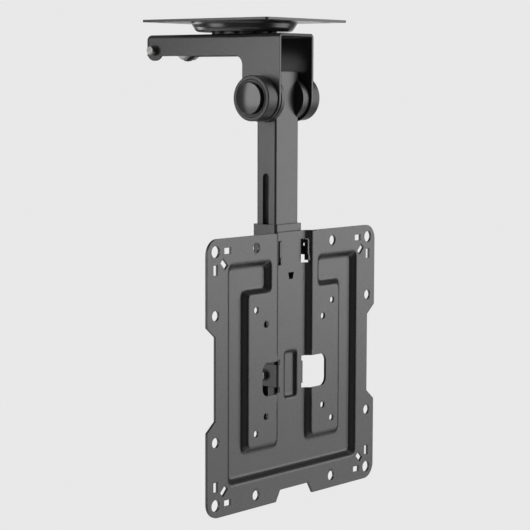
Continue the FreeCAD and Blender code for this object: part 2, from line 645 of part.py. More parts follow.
def post_tube():
    """Rectangular tube with a long slot in each side and a round seat in its head."""
    body = new_body("post_tube")
    wide = "Sizes.tube_wide / 2"
    deep = "Sizes.tube_deep / 2"
    section = new_sketch(body, "tube_section", "XY_Plane", "-Sizes.tube_below")
    add_box(section, "-" + wide, wide, "-" + deep, deep)
    tall = "Sizes.tube_below + Sizes.tube_above"
    pad(body, "tube_blank", section, tall)
    round_edges(body, "tube_corners", "Sizes.tube_corner", lambda e: runs_along(e, Z_AXIS))
    bore = new_sketch(body, "tube_bore", "XY_Plane", "-Sizes.tube_below")
    inner_wide = "(Sizes.tube_wide / 2 - Sizes.tube_wall)"
    inner_deep = "(Sizes.tube_deep / 2 - Sizes.tube_wall)"
    add_box(bore, "-" + inner_wide, inner_wide, "-" + inner_deep, inner_deep)
    pocket(body, "tube_hollow", bore, tall, reverse=True)
    slot = new_sketch(body, "slot_sketch", "YZ_Plane")
    half = "Sizes.slot_wide / 2"
    high = "-(Sizes.slot_top + %s)" % half
    low = "-(Sizes.slot_top + Sizes.slot_long - %s)" % half
    add_box(slot, "-" + half, half, low, high)
    pocket(body, "slots", slot, "2 * Sizes.tube_wide", symmetric=True)
    slot_ends = new_sketch(body, "slot_ends", "YZ_Plane")
    add_circle(slot_ends, "0", high, half)
    add_circle(slot_ends, "0", low, half)
    pocket(body, "slot_rounds", slot_ends, "2 * Sizes.tube_wide", symmetric=True)
    hole = new_sketch(body, "pivot_hole", "YZ_Plane")
    add_circle(hole, "0", "0", "Sizes.pivot_pin + Sizes.bolt_gap")
    pocket(body, "pivot_drilling", hole, "2 * Sizes.tube_wide", symmetric=True)
    seat = new_sketch(body, "disc_seat", "YZ_Plane", "Sizes.disc_seat")
    add_circle(seat, "0", "0", "Sizes.disc_radius_right + Sizes.slide_gap")
    pocket(body, "disc_seat_cut", seat, "Sizes.tube_wide", reverse=True)
    place(body, y=PIVOT_PLACE, z=PIVOT_HEIGHT)


def head_block():
    """Steel block in the tube's head that the pivot bolt turns in."""
    body = new_body("head_block")
    inner_wide = "(Sizes.tube_wide / 2 - Sizes.tube_wall)"
    inner_deep = "(Sizes.tube_deep / 2 - Sizes.tube_wall)"
    top = "(Sizes.tube_above - Sizes.block_sunk)"
    section = new_sketch(body, "block_section", "XY_Plane", top)
    add_box(section, "-" + inner_wide, "Sizes.disc_seat", "-" + inner_deep, inner_deep)
    pad(body, "block_blank", section, "Sizes.block_tall", reverse=True)
    hole = new_sketch(body, "block_hole", "YZ_Plane")
    add_circle(hole, "0", "0", "Sizes.pivot_pin + Sizes.shaft_gap")
    pocket(body, "block_drilling", hole, "2 * Sizes.tube_wide", symmetric=True)
    place(body, y=PIVOT_PLACE, z=PIVOT_HEIGHT)


def tube_cap():
    """Plastic plug that closes the tube's lower end."""
    body = new_body("tube_cap")
    wide = "Sizes.tube_wide / 2"
    deep = "Sizes.tube_deep / 2"
    rim = new_sketch(body, "cap_rim", "XY_Plane")
    add_box(rim, "-" + wide, wide, "-" + deep, deep)
    pad(body, "cap_plate", rim, "Sizes.cap_thick", reverse=True)
    round_edges(body, "cap_corners", "Sizes.tube_corner", lambda e: runs_along(e, Z_AXIS))
    plug = new_sketch(body, "cap_plug_sketch", "XY_Plane")
    inner_wide = "(Sizes.tube_wide / 2 - Sizes.tube_wall - Sizes.turn_gap)"
    inner_deep = "(Sizes.tube_deep / 2 - Sizes.tube_wall - Sizes.turn_gap)"
    add_box(plug, "-" + inner_wide, inner_wide, "-" + inner_deep, inner_deep)
    pad(body, "cap_stem", plug, "Sizes.cap_plug")
    place(body, y=PIVOT_PLACE, z="%s - Sizes.tube_below" % PIVOT_HEIGHT)


def slide_collar():
    """Short tube that slides on the post and carries the hooks."""
    body = new_body("slide_collar")
    gap_wide = "(Sizes.tube_wide / 2 + Sizes.slide_gap)"
    gap_deep = "(Sizes.tube_deep / 2 + Sizes.slide_gap)"
    wide = "(%s + Sizes.collar_wall)" % gap_wide
    deep = "(%s + Sizes.collar_wall)" % gap_deep
    section = new_sketch(body, "collar_section", "XY_Plane", COLLAR_TOP)
    add_box(section, "-" + wide, wide, "-" + deep, deep)
    pad(body, "collar_blank", section, "Sizes.collar_tall", reverse=True)
    round_edges(body, "collar_corners", "Sizes.collar_corner", lambda e: runs_along(e, Z_AXIS))
    bore = new_sketch(body, "collar_bore", "XY_Plane", COLLAR_TOP)
    add_box(bore, "-" + gap_wide, gap_wide, "-" + gap_deep, gap_deep)
    pocket(body, "collar_hollow", bore, "Sizes.collar_tall")
    hole = new_sketch(body, "guide_hole", "YZ_Plane")
    add_circle(hole, "0", GUIDE_HEIGHT, "Sizes.screw_pin + Sizes.bolt_gap")
    pocket(body, "guide_drilling", hole, "4 * Sizes.tube_wide", symmetric=True)
    place(body, y=PIVOT_PLACE, z=PLATE_HEIGHT)


def hook_plate(label, near):
    """Flat hook on one side of the collar, with a notch for the screen plate's tongue."""
    body = new_body(label)
    toe_front = "-Sizes.plate_ahead"
    front = "-Sizes.plate_ahead + Sizes.hook_step"
    notch_front = "-Sizes.plate_ahead + Sizes.press_depth - Sizes.slide_gap"
    notch_back = "-Sizes.plate_ahead + Sizes.press_depth + Sizes.press_sheet + Sizes.slide_gap"
    back = "-(Sizes.screw_across / sqrt(3) + 2 * Sizes.slide_gap)"
    notch = "(%s - Sizes.hook_notch)" % HOOK_TOP
    low = "(%s - Sizes.hook_tall)" % HOOK_TOP
    toe = "(%s - Sizes.hook_tall - Sizes.hook_toe)" % HOOK_TOP
    side = new_sketch(body, label + "_side", "YZ_Plane", near)
    add_polygon(side, [
        (toe_front, toe),
        (notch_front, toe),
        (notch_front, low),
        (back, low),
        (back, HOOK_TOP),
        (notch_back, HOOK_TOP),
        (notch_back, notch),
        (notch_front, notch),
        (notch_front, HOOK_TOP),
        (front, HOOK_TOP),
        (front, low),
        (toe_front, low),
    ])
    pad(body, label + "_sheet", side, "Sizes.hook_sheet")
    place(body, y=PIVOT_PLACE, z=PLATE_HEIGHT)


def carriage_screws():
    """Guide screw in the collar and lock screw in the screen plate's ears."""
    guide = bolt("guide_screw", "Sizes.screw_across", "Sizes.screw_head_tall", "Sizes.screw_pin",
                 "2 * %s + Sizes.screw_head_tall + Sizes.screw_end" % COLLAR_SIDE)
    height = "%s + %s" % (PLATE_HEIGHT, GUIDE_HEIGHT)
    place(guide, COLLAR_SIDE, PIVOT_PLACE, height, Y_AXIS, 90)
    thread = "Sizes.screw_pin + Sizes.shaft_gap"
    guide_nut = nut("guide_nut", "Sizes.screw_across", "Sizes.screw_head_tall", thread)
    place(guide_nut, "-" + COLLAR_SIDE, PIVOT_PLACE, height, Y_AXIS, -90)
    height = "%s - Sizes.lock_drop" % PLATE_HEIGHT
    seat = "(%s + Sizes.screw_washer_thick)" % EAR_OUTSIDE
    hole = "Sizes.screw_pin + Sizes.bolt_gap"
    for label, near in (("lock_washer_right", EAR_OUTSIDE), ("lock_washer_left", "-" + seat)):
        washer = ring(label, "Sizes.screw_washer", hole, "Sizes.screw_washer_thick")
        place(washer, near, PIVOT_PLACE, height, Y_AXIS, 90)
    lock = bolt("lock_screw", "Sizes.screw_across", "Sizes.screw_head_tall", "Sizes.screw_pin",
                "2 * %s + Sizes.screw_head_tall + Sizes.screw_end" % seat)
    place(lock, seat, PIVOT_PLACE, height, Y_AXIS, 90)
    lock_nut = nut("lock_nut", "Sizes.screw_across", "Sizes.screw_head_tall", thread)
    place(lock_nut, "-" + seat, PIVOT_PLACE, height, Y_AXIS, -90)


def channel_outline(grow):
    """Corners of the pressed channels' rim, grown outwards by an expression."""
    side = "(Sizes.press_side - Sizes.rim_side + %s)" % grow
    top = "(Sizes.press_side - Sizes.rim_top + %s)" % grow
    low = "-(Sizes.press_side - Sizes.rim_bottom + %s)" % grow
    middle = "Sizes.pad_inner + %s" % grow
    neck = "Sizes.pad_step - %s" % grow
    outer = "Sizes.pad_outer - %s" % grow
    shoulder = "Sizes.pad_top - %s" % grow
    foot = "-(Sizes.pad_bottom - %s)" % grow
    above = "Sizes.press_side + 4 * Sizes.press_run"
    right = [
        (side, low),
        (side, top),
        (neck, top),
        (neck, shoulder),
        (outer, shoulder),
        (outer, foot),
        (middle, foot),
        (middle, above),
    ]
    left = [("-(%s)" % x, y) for x, y in reversed(right)]
    return right + left


def screen_plate():
    """Pressed plate that the screen bolts to, with channels, windows, ears and holes."""
    body = new_body("screen_plate")
    press_taper = "-atan(Sizes.press_run / Sizes.press_depth)"
    slant = "sqrt(Sizes.press_run^2 + Sizes.press_depth^2)"
    grow = "Sizes.press_sheet * (%s - Sizes.press_run) / Sizes.press_depth" % slant
    edge = "Sizes.press_side"
    foot_in = "Sizes.press_side - Sizes.foot_notch_deep"
    side_in = "Sizes.press_side - Sizes.side_notch_deep"
    right = [
        ("Sizes.foot_notch_inner", "-(%s)" % foot_in),
        ("Sizes.foot_notch_outer", "-" + edge),
        (edge, "-" + edge),
        (edge, "-Sizes.side_notch_outer"),
        (side_in, "-Sizes.side_notch_inner"),
        (side_in, "Sizes.side_notch_inner"),
        (edge, "Sizes.side_notch_outer"),
        (edge, edge),
    ]
    left = [("-(%s)" % x, y) for x, y in reversed(right)]
    outline = new_sketch(body, "plate_outline", "XZ_Plane")
    add_polygon(outline, right + left)
    pad(body, "plate_blank", outline, "Sizes.press_sheet", reverse=True)
    corner = size("press_side")
    round_edges(body, "plate_corners", "Sizes.press_corner",
                lambda e: runs_along(e, Y_AXIS) and abs(abs(ends(e)[0].x) - corner) < 0.01
                and abs(abs(ends(e)[0].z) - corner) < 0.01)

    def rises(edge, low, high, reach):
        start, finish = ends(edge)
        levels = sorted((start.y, finish.y))
        inside = max(abs(start.z), abs(finish.z)) < reach
        return inside and abs(levels[0] - low) < 0.01 and abs(levels[1] - high) < 0.01

    sheet_thick = size("press_sheet")
    depth = size("press_depth")
    back = new_sketch(body, "channel_back", "XZ_Plane", "-Sizes.press_sheet")
    add_polygon(back, channel_outline("(%s)" % grow))
    pad(body, "channels_back", back, "Sizes.press_depth", reverse=True, taper=press_taper)
    round_edges(body, "channel_back_corners", "Sizes.press_round",
                lambda e: rises(e, sheet_thick, sheet_thick + depth, corner))
    front = new_sketch(body, "channel_front", "XZ_Plane")
    add_polygon(front, channel_outline("0"))
    pocket(body, "channels_front", front, "Sizes.press_depth", taper=press_taper)
    round_edges(body, "channel_front_corners", "Sizes.press_round",
                lambda e: rises(e, 0.0, depth, corner))

    def bends(edge, level):
        start, finish = ends(edge)
        flat = abs(start.y - level) < 0.01 and abs(finish.y - level) < 0.01
        inside = max(abs(start.x), abs(finish.x)) < inner_reach
        low_enough = min(start.z, finish.z) < corner - 0.01
        return flat and inside and low_enough and min(start.z, finish.z) > -inner_reach

    inner_reach = size("press_side") - size("side_notch_deep") - 1.0
    for name, level in (("rim", 0.0), ("floor", depth), ("back_foot", sheet_thick),
                        ("back_top", sheet_thick + depth)):
        round_edges(body, "press_bend_" + name, "Sizes.press_bend",
                    lambda e, level=level: bends(e, level))
    trim = new_sketch(body, "trim_sketch", "XZ_Plane")
    add_box(trim, "-" + edge, edge, edge, "2 * Sizes.press_side")
    pocket(body, "trim", trim, "4 * Sizes.plate_ahead", symmetric=True)

    rib_taper = "-atan(Sizes.rib_run / %s)" % RIB_DEPTH
    rib_slant = "sqrt(Sizes.rib_run^2 + %s^2)" % RIB_DEPTH
    rib_grow = "Sizes.press_sheet * (%s - Sizes.rib_run) / %s" % (rib_slant, RIB_DEPTH)
    rib_depth = size("plate_ahead") - size("tube_deep") / 2 - size("slide_gap") - depth - sheet_thick
    rib_back = new_sketch(body, "rib_back", "XZ_Plane", "-(Sizes.press_depth + Sizes.press_sheet)")
    add_box(rib_back, "-(Sizes.rib_half + %s)" % rib_grow, "Sizes.rib_half + %s" % rib_grow,
            "-(Sizes.rib_bottom + %s)" % rib_grow, "Sizes.rib_top + %s" % rib_grow)
    pad(body, "rib_outside", rib_back, RIB_DEPTH, reverse=True, taper=rib_taper)
    rib_level = depth + sheet_thick
    round_edges(body, "rib_back_corners", "Sizes.rib_round",
                lambda e: rises(e, rib_level, rib_level + rib_depth, corner))
    rib_front = new_sketch(body, "rib_front", "XZ_Plane", "-Sizes.press_depth")
    add_box(rib_front, "-Sizes.rib_half", "Sizes.rib_half", "-Sizes.rib_bottom", "Sizes.rib_top")
    pocket(body, "rib_inside", rib_front, RIB_DEPTH, taper=rib_taper)
    round_edges(body, "rib_front_corners", "Sizes.rib_round",
                lambda e: rises(e, depth, depth + rib_depth, corner))

    ear_top = "(Sizes.ear_tall / 2 - Sizes.lock_drop)"
    ear_low = "(-Sizes.ear_tall / 2 - Sizes.lock_drop)"
    relief = "(%s - Sizes.ear_relief)" % EAR_INSIDE
    windows = new_sketch(body, "windows_sketch", "XZ_Plane")
    for sign in ("", "-"):
        add_polygon(windows, [
            ("%s(%s)" % (sign, relief), "-Sizes.window_bottom"),
            (sign + "Sizes.window_outer", "-Sizes.window_bottom"),
            (sign + "Sizes.window_outer", "Sizes.window_top"),
            ("%s(%s)" % (sign, relief), "Sizes.window_top"),
            ("%s(%s)" % (sign, relief), ear_top),
            ("%s%s" % (sign, EAR_INSIDE), ear_top),
            ("%s%s" % (sign, EAR_INSIDE), ear_low),
            ("%s(%s)" % (sign, relief), ear_low),
        ])
    pocket(body, "windows", windows, "4 * Sizes.plate_ahead", symmetric=True)
    window_end = size("window_outer")
    round_edges(body, "window_corners", "Sizes.window_round",
                lambda e: runs_along(e, Y_AXIS) and abs(abs(ends(e)[0].x) - window_end) < 0.01)
    ears = new_sketch(body, "ears_sketch", "XZ_Plane", "-Sizes.press_depth")
    for sign in ("", "-"):
        add_polygon(ears, [
            (sign + EAR_INSIDE, ear_low),
            (sign + EAR_OUTSIDE, ear_low),
            (sign + EAR_OUTSIDE, ear_top),
            (sign + EAR_INSIDE, ear_top),
        ])
    pad(body, "ears", ears, "Sizes.ear_long - Sizes.press_depth", reverse=True)
    ear_outside = size("tube_wide") / 2 + size("slide_gap") + sheet_thick
    round_edges(body, "ear_bends", "Sizes.press_sheet",
                lambda e: runs_along(e, Z_AXIS) and abs(abs(ends(e)[0].x) - ear_outside) < 0.01
                and abs(ends(e)[0].y - depth) < 0.01)
    round_edges(body, "ear_ends", "Sizes.ear_round",
                lambda e: runs_along(e, X_AXIS) and abs(ends(e)[0].y - size("ear_long")) < 0.01)
    ear_holes = new_sketch(body, "ear_holes", "YZ_Plane")
    add_circle(ear_holes, "Sizes.plate_ahead", "-Sizes.lock_drop", "Sizes.screw_pin + Sizes.bolt_gap")
    pocket(body, "ear_drilling", ear_holes, "4 * Sizes.tube_wide", symmetric=True)

    tongue_in = "(%s - Sizes.tongue_wide / 2)" % COLLAR_SIDE
    tongue_out = "(%s + Sizes.tongue_wide / 2)" % COLLAR_SIDE
    tongue_low = "Sizes.press_side - Sizes.gate_down - Sizes.tongue_tall"
    gates = new_sketch(body, "gates_sketch", "XZ_Plane")
    for sign in ("", "-"):
        add_polygon(gates, [
            (sign + "Sizes.gate_inner", "Sizes.press_side - Sizes.gate_down - Sizes.gate_tall"),
            (sign + "Sizes.gate_outer", "Sizes.press_side - Sizes.gate_down - Sizes.gate_tall"),
            (sign + "Sizes.gate_outer", "Sizes.press_side - Sizes.gate_down"),
            (sign + tongue_out, "Sizes.press_side - Sizes.gate_down"),
            (sign + tongue_out, tongue_low),
            (sign + tongue_in, tongue_low),
            (sign + tongue_in, "Sizes.press_side - Sizes.gate_down"),
            (sign + "Sizes.gate_inner", "Sizes.press_side - Sizes.gate_down"),
        ])
    pocket(body, "gates", gates, "4 * Sizes.plate_ahead", symmetric=True)

    holes = new_sketch(body, "screw_holes", "XZ_Plane")
    far = "(Sizes.press_side - Sizes.hole_inset)"
    near = "Sizes.hole_near"
    tight = "Sizes.hole_small"
    for x_sign in ("", "-"):
        for z_sign in ("", "-"):
            add_circle(holes, x_sign + far, z_sign + far, "Sizes.hole_corner_radius")
            for x, z in ((near, far), (far, near)):
                add_circle(holes, x_sign + x, z_sign + z, "Sizes.hole_radius")
            for spot in (near, tight):
                add_circle(holes, x_sign + spot, z_sign + spot, "Sizes.hole_small_radius")
    peep_low = "Sizes.peep_height - Sizes.peep_tall / 2"
    peep_high = "Sizes.peep_height + Sizes.peep_tall / 2"
    add_polygon(holes, [
        ("-Sizes.peep_foot", peep_low),
        ("Sizes.peep_foot", peep_low),
        ("Sizes.peep_top", peep_high),
        ("-Sizes.peep_top", peep_high),
    ])
    pocket(body, "screw_drilling", holes, "4 * Sizes.plate_ahead", symmetric=True)

    keys = new_sketch(body, "key_slots", "XZ_Plane")
    slant_step = math.sqrt(0.5)
    for x_sign in (1, -1):
        for z_sign in (1, -1):
            for x_step, z_step in ((1.0, 0.0), (0.0, 1.0), (slant_step, slant_step)):
                corners = []
                for along, across in ((-1, -1), (1, -1), (1, 1), (-1, 1)):
                    reach = "(Sizes.key_reach + %s * Sizes.key_long / 2)" % along
                    aside = "(%s * Sizes.key_wide / 2)" % across
                    x = "%s * (%s - %r * %s - %r * %s)" % (x_sign, far, x_step, reach, z_step, aside)
                    z = "%s * (%s - %r * %s + %r * %s)" % (z_sign, far, z_step, reach, x_step, aside)
                    corners.append((x, z))
                add_polygon(keys, corners)
    pocket(body, "key_cutting", keys, "4 * Sizes.plate_ahead", symmetric=True)
    place(body, y="%s - Sizes.plate_ahead" % PIVOT_PLACE, z=PLATE_HEIGHT)


def check_document():
    """Stop if any object of the document failed or any piece is not a valid solid."""
    for item in doc.Objects:
        for word in item.State:
            if word in ("Invalid", "Error"):
                raise RuntimeError("%s is %s" % (item.Label, word))
    pieces = [item for item in doc.Objects if item.TypeId == "PartDesign::Body"]
    for piece in pieces:
        shape = piece.Shape
        if shape.isNull() or not shape.isValid() or not shape.Solids:
            raise RuntimeError("%s has no valid solid" % piece.Label)
    return pieces


def main():
    """Build every piece, check the document and write the files."""
    fill_sheet()
    ceiling_plate()
    swivel()
    arm_bracket()
    cross_bolt()
    fold_pivot()
    friction_pack()
    post_tube()
    head_block()
    tube_cap()
    slide_collar()
    hook_plate("hook_plate_left", "-(%s + Sizes.hook_sheet)" % COLLAR_SIDE)
    hook_plate("hook_plate_right", COLLAR_SIDE)
    carriage_screws()
    screen_plate()
    doc.recompute()
    os.makedirs("parts", exist_ok=True)
    for piece in check_document():
        piece.Shape.exportStep("parts/%s.step" % piece.Label)
        box = piece.Shape.BoundBox
        print("%-22s %2d solid  volume %9.1f  x %7.1f %7.1f  y %7.1f %7.1f  z %7.1f %7.1f" % (
            piece.Label, len(piece.Shape.Solids), piece.Shape.Volume,
            box.XMin, box.XMax, box.YMin, box.YMax, box.ZMin, box.ZMax))


main()
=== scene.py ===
import json
import math

import bpy
from mathutils import Matrix, Vector


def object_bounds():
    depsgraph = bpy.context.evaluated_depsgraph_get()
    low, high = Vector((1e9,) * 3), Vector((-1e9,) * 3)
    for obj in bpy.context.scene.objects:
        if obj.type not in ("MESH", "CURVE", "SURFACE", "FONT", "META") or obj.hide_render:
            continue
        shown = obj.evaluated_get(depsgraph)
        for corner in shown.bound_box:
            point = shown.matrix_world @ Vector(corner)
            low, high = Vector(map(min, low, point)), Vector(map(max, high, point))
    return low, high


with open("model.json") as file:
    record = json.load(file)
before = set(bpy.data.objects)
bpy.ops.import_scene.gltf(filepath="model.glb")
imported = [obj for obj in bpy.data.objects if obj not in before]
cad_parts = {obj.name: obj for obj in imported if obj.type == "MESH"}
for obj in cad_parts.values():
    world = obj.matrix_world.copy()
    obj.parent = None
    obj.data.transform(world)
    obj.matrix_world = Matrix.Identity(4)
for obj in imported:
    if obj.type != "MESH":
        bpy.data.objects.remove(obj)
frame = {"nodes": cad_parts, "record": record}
CAD_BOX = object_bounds()
NODES = frame["nodes"]

# The photograph's camera in the part's frame: metres, degrees, pixels and millimetres of sensor.
CAMERA_AT = (-1.18781, -0.98804, -0.05316)
CAMERA_AZIMUTH = 50.9015
CAMERA_DOWN = 5.5316
CAMERA_ROLL = 0.1767
FOCAL_PIXELS = 1858.81
PHOTO_PIXELS = 530.0
SENSOR = 36.0
CAMERA_NEAR = 0.05

# Colours, as linear red, green and blue.
COAT = (0.036, 0.036, 0.037)
PLASTIC = (0.034, 0.034, 0.035)
ZINC_DARK = (0.20, 0.20, 0.195)
ZINC_PALE = (0.34, 0.34, 0.33)
STEEL_DARK = (0.018, 0.018, 0.019)
STEEL_PALE = (0.034, 0.034, 0.035)
STEEL_WORN = (0.10, 0.10, 0.10)
FIBRE_DARK = (0.010, 0.010, 0.010)
FIBRE_PALE = (0.022, 0.021, 0.020)
PAPER = (0.14, 0.14, 0.14)
BACKDROP = (0.812, 0.812, 0.812)
WHITE = (1.0, 1.0, 1.0)

# Roughness at the two ends of the noise that drives it.
COAT_ROUGH = (0.22, 0.29)
ZINC_ROUGH = (0.34, 0.5)
STEEL_ROUGH = (0.32, 0.46)
PLASTIC_ROUGH = (0.33, 0.39)
COVER_ROUGH = (0.34, 0.40)
FIBRE_ROUGH = (0.7, 0.95)
PAPER_ROUGH = 0.9

# How coat and plastic change from place to place, as factors of their colour, and how much of
# the worn colour shows on an edge.
COAT_DARKER = 0.94
COAT_LIGHTER = 1.05
COAT_WORN = 1.15
COAT_WEAR = (0.0, 0.5)
PLASTIC_DARKER = 0.92

# Values between which most of a noise texture lies, the narrower ones for zinc, and the cosines
# between softened and true normal over which an edge fades in.
NOISE_SPAN = (0.3, 0.7)
ZINC_SPAN = (0.35, 0.65)
EDGE_SPAN = (0.80, 0.995)

# Radii of softened edges, and the samples that each takes.
BEVEL_SAMPLES = 8
COAT_EDGE = 0.0007
METAL_EDGE = 0.0004
PLASTIC_EDGE = 0.0005
COVER_EDGE = 0.0004
SHEET_EDGE = 0.0006
CHANNEL_EDGE = 0.0033

# The screen plate from its middle: how far its channels reach, the holes that stay crisp among
# them as (place on both axes, radius), the window and the middle channel's top, which stay crisp
# too, and the upper stretch beside the middle channel, which is soft again.
CHANNELS_WIDE = 0.0925
CHANNELS_HIGH = 0.0955
CRISP_HOLES = ((0.05, 0.0065), (0.0375, 0.006), (0.09, 0.0062))
WINDOW_X = (0.0115, 0.0465)
WINDOW_Z = (-0.0275, 0.0105)
MIDDLE_WIDE = 0.0207
MIDDLE_TOP = 0.066
UPPER_WIDE = 0.0275
UPPER_TOP = 0.09

# Gloss of the screen plate, lowered as painted shade: in a crease by how far the soft normal
# leans to the right, and the share that a face keeps as it turns upward.
CREASE_SHADE_GLOSS = (0.5, 0.02)
CREASE_LEAN = (0.03, 0.16)
SHELF_SHADE_GLOSS = (1.0, 0.25)
SHELF_TURN = (0.2, 0.6)

# The dome's cone: heights over which its shading turns upright and back, how far it turns, and
# the radius of the flat middle.
DOME_UPPER = (-0.0026, -0.0044)
DOME_LOWER = (-0.0080, -0.0060)
DOME_SHARE = 0.96
DOME_FLAT = 0.012

# Gloss of paint in the open, and for the tube and the arm the layer at the outside that keeps it
# and the lower gloss further in, which paints shade inside the hollow.
OPEN_GLOSS = 0.5
TUBE_SKIN = 0.0014
TUBE_SHADE_GLOSS = 0.33
ARM_SKIN = 0.00165
ARM_SHADE_GLOSS = 0.2

# The middle of a pivot cover: radius, how far its normal turns to the axis, how much smoother it
# is than the rim, and the gloss of rim and middle. The last value is the other plastic's gloss.
BUTTON_RADIUS = 0.0124
BUTTON_FLAT = 0.46
BUTTON_SMOOTH = 0.21
BUTTON_GLOSS = (0.42, 0.58)
PLASTIC_GLOSS = 0.55

# The floor below the part, and the glow that lets it meet the backdrop.
FLOOR_DROP = 0.9
FLOOR_REACH = 1.6
FLOOR_GLOW = 0.785

# Light that comes from the surroundings, by the cosine to the way that leads behind the part:
# (cosines, strengths) of the pale wall, of the faint glow around it and of the fill in front,
# which starts at the strength of the dim surroundings.
WALL_WAY = (0.776, 0.630, 0.0)
WALL = ((0.80, 0.97), (0.0, 0.75))
BEHIND = ((0.15, 0.60), (0.0, 0.10))
FILL = ((-0.80, -0.97), (0.04, 0.25))

# Soft boxes: name, place, width and height, power. The low ones stand below the main ones.
LEFT_AT = (-1.844, 0.866)
LEFT_WIDE = 1.16
REAR_AT = (0.18, 2.15)
RIGHT_AT = (1.36, -1.49)
RIGHT_WIDE = 1.5
SOFT_BOXES = (
    ("left_box", (*LEFT_AT, 0.665), (LEFT_WIDE, 2.07), 30.8),
    ("left_low_box", (*LEFT_AT, -0.75), (LEFT_WIDE, 0.72), 4.3),
    ("rear_box", (*REAR_AT, -0.72), (1.7, 0.95), 20.0),
    ("right_box", (*RIGHT_AT, 0.60), (RIGHT_WIDE, 2.28), 34.8),
    ("right_low_box", (*RIGHT_AT, -0.86), (RIGHT_WIDE, 0.64), 5.3),
)

# Sockets of Blender's Mix node, which has one set of them for each kind of data: the factor, and
# ((first, second), result).
MIX_FACTOR = 0
MIX_SOCKETS = {"VECTOR": ((4, 5), 1), "RGBA": ((6, 7), 2)}


class Nodes:
    """Short ways to add nodes to a tree. Each takes sockets or plain values."""

    def __init__(self, tree):
        self.tree = tree
        tree.nodes.clear()

    def add(self, kind, **settings):
        """A node of this kind with its settings."""
        node = self.tree.nodes.new(kind)
        for name, value in settings.items():
            setattr(node, name, value)
        return node

    def feed(self, value, target):
        """Join a socket to the target, or set the target to a number, a vector or a colour."""
        if isinstance(value, bpy.types.NodeSocket):
            self.tree.links.new(value, target)
        elif target.type == "RGBA":
            target.default_value = (*value, 1.0)
        else:
            target.default_value = value

    def math(self, operation, *values):
        """One math node."""
        node = self.add("ShaderNodeMath", operation=operation)
        for value, target in zip(values, node.inputs):
            self.feed(value, target)
        return node.outputs["Value"]

    def vector_math(self, operation, *values):
        """One vector math node."""
        node = self.add("ShaderNodeVectorMath", operation=operation)
        for value, target in zip(values, node.inputs):
            self.feed(value, target)
        return node.outputs["Value" if operation == "DOT_PRODUCT" else "Vector"]

    def remap(self, value, to, span=(0.0, 1.0), shape="LINEAR"):
        """Carry the span of the value to another one, and stop at its ends."""
        node = self.add("ShaderNodeMapRange", interpolation_type=shape)
        self.feed(value, node.inputs["Value"])
        self.feed(span[0], node.inputs["From Min"])
        self.feed(span[1], node.inputs["From Max"])
        self.feed(to[0], node.inputs["To Min"])
        self.feed(to[1], node.inputs["To Max"])
        return node.outputs["Result"]

    def mix(self, factor, first, second, kind="RGBA"):
        """Mix two colours or, as VECTOR, two vectors."""
        node = self.add("ShaderNodeMix", data_type=kind)
        (first_at, second_at), result = MIX_SOCKETS[kind]
        self.feed(factor, node.inputs[MIX_FACTOR])
        self.feed(first, node.inputs[first_at])
        self.feed(second, node.inputs[second_at])
        return node.outputs[result]

    def noise(self, scale, detail, rough=0.5):
        """Noise that stays with the piece, about 0.5."""
        node = self.add("ShaderNodeTexNoise")
        self.feed(self.place(), node.inputs["Vector"])
        self.feed(scale, node.inputs["Scale"])
        self.feed(detail, node.inputs["Detail"])
        self.feed(rough, node.inputs["Roughness"])
        return node.outputs["Fac"]

    def bump(self, height, strength, distance, normal=None):
        """Bend the normal by a height."""
        node = self.add("ShaderNodeBump")
        self.feed(height, node.inputs["Height"])
        self.feed(strength, node.inputs["Strength"])
        self.feed(distance, node.inputs["Distance"])
        if normal is not None:
            self.feed(normal, node.inputs["Normal"])
        return node.outputs["Normal"]

    def bevel(self, radius):
        """The normal, softened along edges by this radius."""
        node = self.add("ShaderNodeBevel", samples=BEVEL_SAMPLES)
        self.feed(radius, node.inputs["Radius"])
        return node.outputs["Normal"]

    def place(self):
        """The piece's own coordinates."""
        return self.add("ShaderNodeTexCoord").outputs["Object"]

    def split(self, vector):
        """The three numbers of a vector."""
        node = self.add("ShaderNodeSeparateXYZ")
        self.feed(vector, node.inputs["Vector"])
        return node.outputs["X"], node.outputs["Y"], node.outputs["Z"]

    def local(self, centre):
        """The piece's own coordinates about a point, as three numbers."""
        return self.split(self.vector_math("SUBTRACT", self.place(), centre))

    def turned(self, vector, source, target):
        """A direction of one space in the other one, which are WORLD and OBJECT."""
        node = self.add("ShaderNodeVectorTransform", vector_type="VECTOR", convert_from=source,
                        convert_to=target)
        self.feed(vector, node.inputs["Vector"])
        return node.outputs["Vector"]

    def true_normal(self):
        """The normal of the flat face."""
        return self.add("ShaderNodeNewGeometry").outputs["True Normal"]

    def facing_up(self):
        """How far the flat face turns to the part's +Z."""
        return self.split(self.turned(self.true_normal(), "WORLD", "OBJECT"))[2]

    def lean_to_right(self, normal):
        """How far a softened normal leans to the part's +X from the flat face's own."""
        lean = self.vector_math("SUBTRACT", normal, self.true_normal())
        return self.split(self.turned(lean, "WORLD", "OBJECT"))[0]

    def lean_between(self, factor, normal, other):
        """A normal that leans by a factor from one to another."""
        return self.vector_math("NORMALIZE", self.mix(factor, normal, other, kind="VECTOR"))

    def distance(self, first, first_at, second, second_at):
        """Distance in a plane from a point given by two coordinates."""
        one = self.math("SUBTRACT", first, first_at)
        two = self.math("SUBTRACT", second, second_at)
        squares = self.math("ADD", self.math("MULTIPLY", one, one), self.math("MULTIPLY", two, two))
        return self.math("SQRT", squares)

    def below(self, value, limit):
        """A mask that is 1 below a limit."""
        return self.math("LESS_THAN", value, limit)

    def above(self, value, limit):
        """A mask that is 1 above a limit."""
        return self.math("GREATER_THAN", value, limit)

    def between(self, value, limits):
        """A mask that is 1 between two limits."""
        return self.all_of(self.above(value, limits[0]), self.below(value, limits[1]))

    def all_of(self, *masks):
        """A mask where all of these are."""
        total = masks[0]
        for mask in masks[1:]:
            total = self.math("MULTIPLY", total, mask)
        return total

    def none_of(self, mask):
        """A mask where this one isn't."""
        return self.math("SUBTRACT", 1.0, mask)

